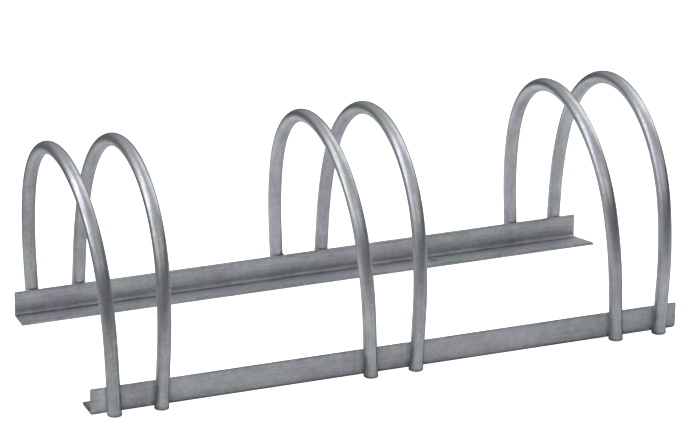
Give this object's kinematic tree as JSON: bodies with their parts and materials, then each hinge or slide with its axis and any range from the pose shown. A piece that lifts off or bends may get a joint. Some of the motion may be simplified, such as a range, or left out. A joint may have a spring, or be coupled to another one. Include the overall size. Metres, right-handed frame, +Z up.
{
  "type": "hoop bike rack",
  "caption": "Low bicycle rack: splayed pairs of bent tube hoops welded by their feet to two parallel angle rails that lie on the ground.",
  "frame": {"origin": "on the ground at the middle of the rack's whole footprint, the slanting rail end included", "axes": "+X along the rails towards the slanting rail end, +Y from the front rail to the back rail, +Z up"},
  "size_m": [0.836, 0.3676, 0.2996],
  "materials": {
    "galvanised_tube": "hot-dip galvanised round tube, satin, blue-grey",
    "galvanised_angle": "hot-dip galvanised angle, satin to dull, blue-grey",
    "galvanised_weld": "weld bead under a thick zinc coat, dull grey"
  },
  "bodies": {
    "root": {"back_rail": "galvanised_angle", "front_rail": "galvanised_angle", "hoop_1": "galvanised_tube", "hoop_1_front_weld_left": "galvanised_weld", "hoop_1_front_weld_right": "galvanised_weld", "hoop_1_back_weld_left": "galvanised_weld", "hoop_1_back_weld_right": "galvanised_weld", "hoop_2": "galvanised_tube", "hoop_2_front_weld_left": "galvanised_weld", "hoop_2_front_weld_right": "galvanised_weld", "hoop_2_back_weld_left": "galvanised_weld", "hoop_2_back_weld_right": "galvanised_weld", "hoop_3": "galvanised_tube", "hoop_3_front_weld_left": "galvanised_weld", "hoop_3_front_weld_right": "galvanised_weld", "hoop_3_back_weld_left": "galvanised_weld", "hoop_3_back_weld_right": "galvanised_weld", "hoop_4": "galvanised_tube", "hoop_4_front_weld_left": "galvanised_weld", "hoop_4_front_weld_right": "galvanised_weld", "hoop_4_back_weld_left": "galvanised_weld", "hoop_4_back_weld_right": "galvanised_weld", "hoop_5": "galvanised_tube", "hoop_5_front_weld_left": "galvanised_weld", "hoop_5_front_weld_right": "galvanised_weld", "hoop_5_back_weld_left": "galvanised_weld", "hoop_5_back_weld_right": "galvanised_weld", "hoop_6": "galvanised_tube", "hoop_6_front_weld_left": "galvanised_weld", "hoop_6_front_weld_right": "galvanised_weld", "hoop_6_back_weld_left": "galvanised_weld", "hoop_6_back_weld_right": "galvanised_weld"}
  },
  "joints": []
}
